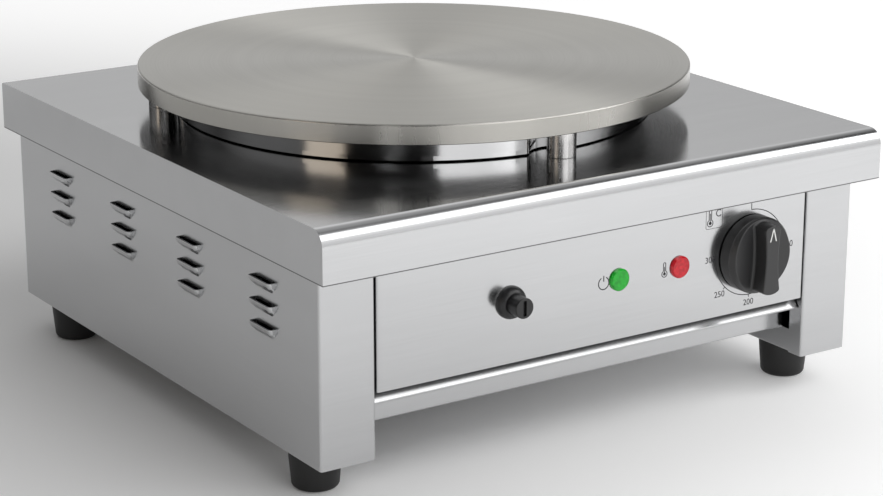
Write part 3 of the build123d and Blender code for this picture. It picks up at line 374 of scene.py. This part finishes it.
def hotplate_iron():
    """Turned on its top and rim, left as cast underneath. The rim is turned finer, and it gets a
    darker copy of the top's colour, which is painted shade.
    """
    recipe = Recipe("hotplate_iron", TURNED_IRON, 0.42, metallic=1.0)
    fine = recipe.rings(PLATE_CENTRE, 900.0, detail=3.0)
    broad = recipe.rings(PLATE_CENTRE, 60.0)
    clouds = recipe.noise(14.0, detail=4.0, roughness=0.6)
    rim = recipe.add(recipe.facing_up(), FACES_SIDEWAYS, "LESS_THAN")
    recipe.vary_roughness(recipe.spread(fine, -0.03, 0.03), recipe.spread(clouds, -0.02, 0.02),
                          recipe.add(rim, -0.16, "MULTIPLY"))
    recipe.vary_colour(recipe.add(recipe.spread(broad, 0.0, 0.5), recipe.spread(clouds, 0.0, 0.5)),
                       dark=0.95, light=1.04)
    # painted shade on the rim
    recipe.stain(rim, SHADED_RIM_IRON)
    recipe.stain(recipe.add(recipe.facing_up(), FACES_DOWN, "LESS_THAN"), CAST_IRON)
    recipe.bump(fine, strength=0.04, distance=0.1 * MM)
    recipe.turned(0.84)
    return recipe.material


def polished_steel():
    """Pressed and polished sheet, slightly wavy."""
    recipe = Recipe("polished_steel", (0.62, 0.62, 0.62), 0.11, metallic=1.0)
    clouds = recipe.noise(30.0, detail=3.0)
    waves = recipe.noise((28.0, 28.0, 6.0), detail=1.0)
    recipe.vary_roughness(recipe.spread(clouds, -0.01, 0.03))
    recipe.vary_colour(clouds, dark=0.90, light=1.03)
    recipe.bump(waves, strength=0.25, distance=1.5 * MM)
    return recipe.material


def turned_steel():
    """Posts and shaft, with fine marks that run along them."""
    recipe = Recipe("turned_steel", (0.66, 0.65, 0.64), 0.26, metallic=1.0)
    marks = recipe.noise((1500.0, 1500.0, 40.0), detail=3.0)
    clouds = recipe.noise(120.0, detail=3.0)
    recipe.vary_roughness(recipe.spread(marks, -0.05, 0.05), recipe.spread(clouds, -0.04, 0.04))
    recipe.vary_colour(clouds, dark=0.90, light=1.04)
    recipe.bump(marks, strength=0.2, distance=0.2 * MM)
    return recipe.material


def plated_steel(name, colour, roughness):
    """Zinc plated or galvanised steel with its faint cloudy spangle."""
    recipe = Recipe(name, colour, roughness, metallic=1.0)
    spangle = recipe.noise(90.0)
    specks = recipe.noise(900.0)
    recipe.vary_roughness(recipe.spread(spangle, -0.06, 0.08))
    recipe.vary_colour(spangle, dark=0.88, light=1.05)
    recipe.bump(specks, strength=0.1, distance=0.1 * MM)
    return recipe.material


def moulded_plastic(name, colour, roughness, grain=1500.0, strength=0.12):
    """Moulded plastic with a fine spark-eroded texture and slight polish from handling."""
    recipe = Recipe(name, colour, roughness)
    texture = recipe.noise(grain, detail=3.0, roughness=0.6)
    handling = recipe.noise(45.0, detail=3.0)
    recipe.vary_roughness(recipe.spread(handling, -0.03, 0.045),
                          recipe.spread(texture, -0.03, 0.03))
    recipe.vary_colour(handling, dark=0.88, light=1.15)
    recipe.bump(texture, strength, distance=0.1 * MM)
    return recipe.material


def lens_plastic(name, colour):
    """Coloured lamp lens with moulded rays on its back, which glows faintly."""
    recipe = Recipe(name, colour, 0.18)
    rays = recipe.noise(420.0, detail=1.0)
    recipe.vary_colour(recipe.spread(rays, 0.0, 1.0, 0.35, 0.65), dark=0.80, light=1.20)
    recipe.bump(rays, strength=0.2, distance=0.5 * MM)
    shader = recipe.shader
    shader.inputs["Emission Color"].default_value = (*colour, 1)
    shader.inputs["Emission Strength"].default_value = 0.18
    shader.inputs["Specular IOR Level"].default_value = 0.3
    shader.inputs["Coat Weight"].default_value = 0.25
    shader.inputs["Coat Roughness"].default_value = 0.05
    return recipe.material


def fibre_board():
    recipe = Recipe("mineral_fibre", (0.76, 0.73, 0.64), 0.95)
    fibres = recipe.noise((300.0, 900.0, 600.0), detail=5.0, roughness=0.7)
    recipe.vary_colour(fibres, dark=0.8, light=1.1)
    recipe.bump(fibres, strength=0.6, distance=0.6 * MM)
    return recipe.material


def clear_glass():
    recipe = Recipe("clear_glass", (0.92, 0.94, 0.94), 0.04)
    ripples = recipe.noise(200.0)
    recipe.shader.inputs["Transmission Weight"].default_value = 1.0
    recipe.shader.inputs["IOR"].default_value = 1.48
    recipe.bump(ripples, strength=0.03, distance=0.2 * MM)
    return recipe.material


def print_ink():
    recipe = Recipe("print_ink", (0.030, 0.030, 0.033), 0.5)
    specks = recipe.noise(1800.0)
    recipe.vary_colour(specks, dark=0.8, light=1.4)
    recipe.vary_roughness(recipe.spread(specks, -0.05, 0.05))
    return recipe.material


def pointer_paint():
    recipe = Recipe("pointer_paint", (0.86, 0.86, 0.84), 0.45)
    specks = recipe.noise(1500.0)
    recipe.vary_colour(specks, dark=0.94, light=1.02)
    recipe.bump(specks, strength=0.1, distance=0.1 * MM)
    return recipe.material


def dress_nodes():
    """Gives every CAD node its finish."""
    along_x = (GRAIN_LONG, GRAIN_FINE, GRAIN_FINE)
    level_grain = (GRAIN_LONG, GRAIN_LONG, GRAIN_FINE)
    across_deck = (0.0, 1.0, 1.0)
    upright = (0.0, 0.0, 1.0)
    plated = plated_steel("zinc_steel", (0.62, 0.62, 0.60), 0.32)
    galvanised = plated_steel("galvanised_sheet", (0.56, 0.58, 0.59), 0.38)
    turned = turned_steel()
    black = moulded_plastic("black_plastic", (0.012, 0.012, 0.013), 0.36)
    foot = moulded_plastic("foot_plastic", (0.009, 0.009, 0.009), 0.52, grain=1100.0, strength=0.2)
    lamp = moulded_plastic("lamp_housing", (0.72, 0.72, 0.68), 0.4)
    finishes = {
        "deck": deck_steel("steel_deck", along_x, across_deck, roughness=0.12,
                           anisotropy=0.7).material,
        "left_side_panel": satin_steel("steel_side_left", level_grain, upright).material,
        "right_side_panel": satin_steel("steel_side_right", level_grain, upright).material,
        "control_panel": satin_steel("steel_panel", level_grain, upright, roughness=0.17,
                                     anisotropy=0.4).material,
        "rear_panel": satin_steel("steel_rear", level_grain, upright).material,
        "crumb_tray": satin_steel("steel_tray", along_x, across_deck).material,
        "hotplate": hotplate_iron(),
        "element_cover": polished_steel(),
        "outer_heating_element": plated_steel("element_sheath", (0.26, 0.27, 0.25), 0.5),
        "inner_heating_element": plated_steel("element_sheath_inner", (0.27, 0.27, 0.25), 0.5),
        "insulation": fibre_board(),
        "thermostat_bulb": plated_steel("copper_bulb", (0.72, 0.43, 0.30), 0.35),
        "capillary_tube": plated_steel("copper_tube", (0.70, 0.42, 0.29), 0.35),
        "temperature_knob": moulded_plastic("knob_plastic", (0.030, 0.030, 0.031), 0.38,
                                            strength=0.05),
        "green_lamp_lens": lens_plastic("green_lens", (0.012, 0.34, 0.025)),
        "red_lamp_lens": lens_plastic("red_lens", (0.48, 0.012, 0.020)),
        "neon_bulbs": clear_glass(),
        "fuse_link": clear_glass(),
        "gland_seal": moulded_plastic("seal_rubber", (0.03, 0.03, 0.03), 0.7),
        "terminal_block": moulded_plastic("terminal_plastic", (0.80, 0.79, 0.74), 0.5),
    }
    families = (
        (plated, ("post_washers", "post_bolts", "rear_panel_screws", "cover_screws", "clamp_studs",
                  "clamp_nuts", "saddle_screws", "thermostat_screws", "foot_screws", "foot_nuts",
                  "terminal_screws")),
        (galvanised, ("heat_shield", "element_clamps", "bulb_saddle")),
        (turned, ("front_post", "left_post", "right_post", "thermostat_shaft")),
        (black, ("fuse_holder", "fuse_cap", "fuse_holder_nut", "cable_gland", "gland_dome_nut",
                 "gland_locknut", "thermostat")),
        (foot, ("front_left_foot", "front_right_foot", "rear_left_foot", "rear_right_foot")),
        (lamp, ("green_lamp_body", "red_lamp_body")),
    )
    for finish, names in families:
        for name in names:
            finishes[name] = finish
    for name, piece in nodes.items():
        piece.data.materials.clear()
        piece.data.materials.append(finishes[name])


# ---------------------------------------------------------------- new pieces
def add_piece(name, mesh, material, body):
    """Puts a finished mesh into the scene, on a body and in a slot."""
    mesh.materials.clear()
    mesh.materials.append(material)
    piece = bpy.data.objects.new(name, mesh)
    bpy.context.scene.collection.objects.link(piece)
    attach(piece, body)


def mesh_of(name, shaper):
    """Turns an edit mesh into a plain one."""
    mesh = bpy.data.meshes.new(name)
    shaper.normal_update()
    shaper.to_mesh(mesh)
    shaper.free()
    return mesh


# ---------------------------------------------------------------- printed marks on the panel
# Places on the panel are (x, z) pairs. The numbers with _MM in their names are in millimetres.
PRINT_GAP = 0.01 * MM
PRINT_THICKNESS = 0.06 * MM
LINE = 0.6 * MM
POWER_LINE = 0.75 * MM
SIGN_FRAME = 0.28 * MM
TEXT_SIZE = 1.38                  # of the font, for numbers 1 high

DIAL_RADIUS = 30.6 * MM
DIAL_SWEEP = 270
DIAL_FIRST_TICK = 4.6 * MM
DIAL_TICK = 2.0 * MM
DIAL_NUMBERS = (                  # number, angle and radius in mm
    ("100", 90, 34.2), ("200", 180, 36.4), ("250", 225, 37.2), ("300", 270, 35.4),
)
NUMBER_HEIGHT = 4.5 * MM

POWER_FROM_LAMP_MM = (-12.8, -0.5)
POWER_RADIUS = 4.3 * MM
POWER_OPENING = 28                # degrees to each side of the top
POWER_STROKE_MM = (1.2, 5.2)      # from and to, above the middle

# bulb's radius, half the width of the stem, and height of its top above the bulb
LAMP_THERMOMETER_MM = (2.2, 0.95, 7.0)
LAMP_THERMOMETER_FROM_LAMP_MM = (-12.9, -2.9)
DIAL_THERMOMETER_MM = (2.4, 1.05, 9.5)
DIAL_THERMOMETER_FROM_KNOB_MM = (-36.5, 26.5)
BULB_OPENING = 35                 # degrees to each side, where the stem begins
COLUMN_LINE = 0.9                 # of the usual line
COLUMN_TOP = 0.72                 # of the stem

# degree ring, letter C and frame beside the dial's thermometer, from its bulb
DEGREE_FROM_BULB_MM = (4.3, 9.6)
DEGREE_RADIUS, DEGREE_LINE = 0.8 * MM, 0.4 * MM
LETTER_FROM_BULB_MM = (7.6, 6.4)
LETTER_RADIUS, LETTER_LINE = 2.3 * MM, 0.7 * MM
LETTER_BEGIN, LETTER_SWEEP = 130, 280
FRAME_SIDES_MM = (-3.6, 10.6)
FRAME_ENDS_MM = (-4.0, 12.0)
FRAME_CORNER = 1.5 * MM


def moved(place, step_mm):
    """Place on the panel, moved by a step in millimetres."""
    return (place[0] + step_mm[0] * MM, place[1] + step_mm[1] * MM)


def around(centre, radius, angle):
    """Point of the panel at a distance and a clockwise angle from straight up."""
    turn = math.radians(angle)
    return (centre[0] + radius * math.sin(turn), centre[1] + radius * math.cos(turn))


class Print:
    """Flat printed marks, raised a hair above an upright face that looks towards -Y."""

    def __init__(self):
        self.mesh = bmesh.new()

    def shape(self, points):
        """Adds a thin plate, with its outline of (x, z) points anticlockwise from the front."""
        back = PANEL_FACE - PRINT_GAP
        front = back - PRINT_THICKNESS
        far = [self.mesh.verts.new((x, back, z)) for x, z in points]
        near = [self.mesh.verts.new((x, front, z)) for x, z in points]
        self.mesh.faces.new(near)
        self.mesh.faces.new(list(reversed(far)))
        count = len(points)
        for index in range(count):
            after = (index + 1) % count
            self.mesh.faces.new((near[index], far[index], far[after], near[after]))

    def line(self, start, end, width=LINE):
        start, end = Vector(start), Vector(end)
        along = (end - start).normalized()
        aside = Vector((-along.y, along.x)) * width / 2
        self.shape([start - aside, end - aside, end + aside, start + aside])

    def arc(self, centre, radius, begin, sweep, width=LINE, steps=96):
        """Band along an arc. Angles are in degrees, and steps are those of a full turn."""
        count = max(3, int(steps * abs(sweep) / 360))
        inner, outer = radius - width / 2, radius + width / 2
        for index in range(count):
            first, second = (begin + sweep * (step / count) for step in (index, index + 1))
            corners = [around(centre, inner, first), around(centre, outer, first),
                       around(centre, outer, second), around(centre, inner, second)]
            if sweep > 0:
                corners.reverse()
            self.shape(corners)

    def thermometer(self, bulb, sizes_mm):
        """Outline of a thermometer, standing on its bulb."""
        bulb_radius, stem_half, height = (size * MM for size in sizes_mm)
        x, bulb_z = bulb
        self.arc(bulb, bulb_radius, BULB_OPENING, 360 - 2 * BULB_OPENING)
        self.arc(bulb, bulb_radius * 0.25, 0, 360, width=bulb_radius * 0.5)
        top = bulb_z + height
        low = bulb_z + bulb_radius * math.cos(math.radians(BULB_OPENING))
        for side in (-1, 1):
            self.line((x + side * stem_half, low), (x + side * stem_half, top))
        self.arc((x, top), stem_half, -90, 180)
        self.line(bulb, (x, bulb_z + height * COLUMN_TOP), width=LINE * COLUMN_LINE)

    def finish(self, name, ink):
        add_piece(name, mesh_of(name, self.mesh), ink, "housing")


def printed_number(name, text, centre, ink):
    """Plain number, centred on a place of the panel."""
    curve = bpy.data.curves.new(name, "FONT")
    curve.body = text
    curve.align_x = "CENTER"
    curve.align_y = "CENTER"
    curve.size = NUMBER_HEIGHT * TEXT_SIZE
    curve.extrude = PRINT_THICKNESS / 2
    shaper = bpy.data.objects.new(name + "_curve", curve)
    bpy.context.scene.collection.objects.link(shaper)
    bpy.context.view_layer.update()
    evaluated = shaper.evaluated_get(bpy.context.evaluated_depsgraph_get())
    mesh = bpy.data.meshes.new_from_object(evaluated)
    bpy.data.objects.remove(shaper)
    mesh.name = name
    for vertex in mesh.vertices:
        x, y, z = vertex.co
        vertex.co = (centre[0] + x, PANEL_FACE - PRINT_GAP - PRINT_THICKNESS / 2 - z, centre[1] + y)
    add_piece(name, mesh, ink, "housing")


def print_dial(knob, ink):
    """Scale around the knob, with its numbers."""
    dial = Print()
    dial.arc(knob, DIAL_RADIUS, 0, DIAL_SWEEP)
    dial.line(around(knob, DIAL_RADIUS, 0), around(knob, DIAL_RADIUS + DIAL_FIRST_TICK, 0))
    for _, angle, _ in DIAL_NUMBERS:
        dial.line(around(knob, DIAL_RADIUS, angle), around(knob, DIAL_RADIUS + DIAL_TICK, angle))
    dial.finish("dial_scale", ink)
    for text, angle, radius in DIAL_NUMBERS:
        printed_number("dial_" + text, text, around(knob, radius * MM, angle), ink)


def print_lamp_signs(ink):
    """Power sign beside the green lamp and thermometer beside the red one."""
    signs = Print()
    power = moved((GREEN_LAMP.x, GREEN_LAMP.z), POWER_FROM_LAMP_MM)
    signs.arc(power, POWER_RADIUS, POWER_OPENING, 360 - 2 * POWER_OPENING, width=POWER_LINE)
    low, top = (moved(power, (0, height)) for height in POWER_STROKE_MM)
    signs.line(low, top, width=POWER_LINE)
    signs.thermometer(moved((RED_LAMP.x, RED_LAMP.z), LAMP_THERMOMETER_FROM_LAMP_MM),
                      LAMP_THERMOMETER_MM)
    signs.finish("lamp_signs", ink)


def print_dial_sign(knob, ink):
    """Thermometer with the sign for degrees Celsius, framed on three sides."""
    sign = Print()
    bulb = moved(knob, DIAL_THERMOMETER_FROM_KNOB_MM)
    sign.thermometer(bulb, DIAL_THERMOMETER_MM)
    sign.arc(moved(bulb, DEGREE_FROM_BULB_MM), DEGREE_RADIUS, 0, 360, width=DEGREE_LINE, steps=16)
    sign.arc(moved(bulb, LETTER_FROM_BULB_MM), LETTER_RADIUS, LETTER_BEGIN, LETTER_SWEEP,
             width=LETTER_LINE, steps=48)
    left, right = (bulb[0] + side * MM for side in FRAME_SIDES_MM)
    low, top = (bulb[1] + end * MM for end in FRAME_ENDS_MM)
    inner_left, inner_right = left + FRAME_CORNER, right - FRAME_CORNER
    inner_low = low + FRAME_CORNER
    for start, end in (((left, inner_low), (left, top)), ((inner_left, low), (inner_right, low)),
                       ((right, inner_low), (right, top))):
        sign.line(start, end, width=SIGN_FRAME)
    for x, begin in ((inner_left, 180), (inner_right, 90)):
        sign.arc((x, inner_low), FRAME_CORNER, begin, 90, width=SIGN_FRAME, steps=32)
    sign.finish("dial_sign", ink)


def make_prints():
    ink = print_ink()
    knob = (KNOB_AXIS.x, KNOB_AXIS.z)
    print_dial(knob, ink)
    print_lamp_signs(ink)
    print_dial_sign(knob, ink)


# ---------------------------------------------------------------- hem of the element cover
COVER_CLEARANCE = 3.0 * MM        # from the deck to the pan of the element cover
COVER_EDGE_ROUND = 1.3 * MM
HEM_GAP = 0.9 * MM
HEM_SHEET = 1.0 * MM
HEM_ROUND = 0.35 * MM
ROUND_MIDDLE = 0.3 * HEM_ROUND    # from the sides of the hem to the middle of its round
ROUND_MIDDLE_ROW = 2              # in the profile; the edges along all its other rows are sharp
OUTLINE_ABOVE_HEM = 1.0 * MM
SAME_POINT = 0.2 * MM


def rim_outline(name, level):
    """Outer outline of a CAD node at a level, as (x, y) points in order."""
    mesh = bmesh.new()
    mesh.from_mesh(nodes[name].data)
    bmesh.ops.bisect_plane(mesh, geom=mesh.verts[:] + mesh.edges[:] + mesh.faces[:],
                           plane_co=(0, 0, level), plane_no=(0, 0, 1),
                           clear_inner=True, clear_outer=True)
    bmesh.ops.remove_doubles(mesh, verts=mesh.verts, dist=SAME_POINT)
    left = set(mesh.verts)
    loops = []
    while left:
        vertex = min(left, key=lambda v: (v.co.x, v.co.y))
        loop = []
        while vertex:
            loop.append(vertex.co.xy.copy())
            left.discard(vertex)
            beside = [e.other_vert(vertex) for e in vertex.link_edges]
            vertex = next((v for v in beside if v in left), None)
        loops.append(loop)
    mesh.free()
    outer = min(loops, key=lambda loop: loop[0].x)
    turning = sum(a.cross(b) for a, b in zip(outer, outer[1:] + outer[:1]))
    return outer if turning > 0 else outer[::-1]


def make_cover_hem(material):
    """Folded hem along the lower rim of the element cover, just above the deck."""
    top = DECK_TOP + COVER_CLEARANCE + COVER_EDGE_ROUND
    low = DECK_TOP + HEM_GAP
    outline = rim_outline("element_cover", top + OUTLINE_ABOVE_HEM)
    count = len(outline)
    inward = []
    for index, point in enumerate(outline):
        along = (outline[(index + 1) % count] - outline[index - 1]).normalized()
        inward.append(Vector((-along.y, along.x)))
    profile = [(0.0, top), (0.0, low + HEM_ROUND), (ROUND_MIDDLE, low + ROUND_MIDDLE),
               (HEM_ROUND, low), (HEM_SHEET - HEM_ROUND, low), (HEM_SHEET, low + HEM_ROUND),
               (HEM_SHEET, top)]
    mesh = bmesh.new()
    rows = []
    for depth, height in profile:
        rows.append([mesh.verts.new((*(point + aside * depth), height))
                     for point, aside in zip(outline, inward)])
    for above, below in zip(rows, rows[1:] + rows[:1]):
        for index in range(count):
            after = (index + 1) % count
            face = mesh.faces.new((above[index], below[index], below[after], above[after]))
            face.smooth = True
    for number, row in enumerate(rows):
        for index in range(count):
            edge = mesh.edges.get((row[index], row[(index + 1) % count]))
            edge.smooth = number == ROUND_MIDDLE_ROW
    add_piece("cover_hem", mesh_of("cover_hem", mesh), material, "housing")


# ---------------------------------------------------------------- arrowhead on the knob's grip
POINTER_TIP_MM = (0.0, 22.9)      # from the knob's axis
POINTER_FEET_MM = ((-2.55, 13.45), (2.55, 13.45))
POINTER_WIDTH_MM = 0.95
POINTER_STEPS = 14
POINTER_PAINT = 0.05 * MM
BEFORE_KNOB = 60 * MM             # from the panel to a plane in front of the whole knob


def make_pointer():
    """White arrowhead painted on the knob's grip."""
    knob = nodes["temperature_knob"]
    mesh = bmesh.new()

    def on_grip(u, v):
        start = Vector((KNOB_AXIS.x + u * MM, PANEL_FACE - BEFORE_KNOB, KNOB_AXIS.z + v * MM))
        place = knob.ray_cast(start, Vector((0, 1, 0)))[1]
        return place + Vector((0, -POINTER_PAINT, 0))

    for foot in POINTER_FEET_MM:
        before = None
        for index in range(POINTER_STEPS + 1):
            share = index / POINTER_STEPS
            u, v = (tip + (end - tip) * share for tip, end in zip(POINTER_TIP_MM, foot))
            left = mesh.verts.new(on_grip(u - POINTER_WIDTH_MM / 2, v))
            right = mesh.verts.new(on_grip(u + POINTER_WIDTH_MM / 2, v))
            if before:
                mesh.faces.new((before[0], left, right, before[1]))
            before = (left, right)
    add_piece("knob_pointer", mesh_of("knob_pointer", mesh), pointer_paint(), "knob")


# ---------------------------------------------------------------- the scene
bpy.context.scene.view_settings.view_transform = "Standard"
make_camera()
make_world()
make_floor()
softbox("overhead", seen_from_object(150, 46), distance=2.3, width=2.6, height=1.2, watts=18.5)
softbox("key", (0.75, -0.40, 0.55), distance=2.6, width=1.2, height=1.0, watts=8.5)
softbox("front", seen_from_object(184, 16), distance=2.6, width=1.7, height=1.1, watts=10.5)
softbox("card", seen_from_object(254, 14), distance=2.6, width=0.8, height=0.9, watts=2.2,
        colour=(1.0, 0.86, 0.70))
softbox("spark", (-0.62, -0.66, 0.42), distance=2.4, width=0.30, height=0.30, watts=1.2)
dress_nodes()
make_cover_hem(nodes["element_cover"].data.materials[0])
make_prints()
make_pointer()
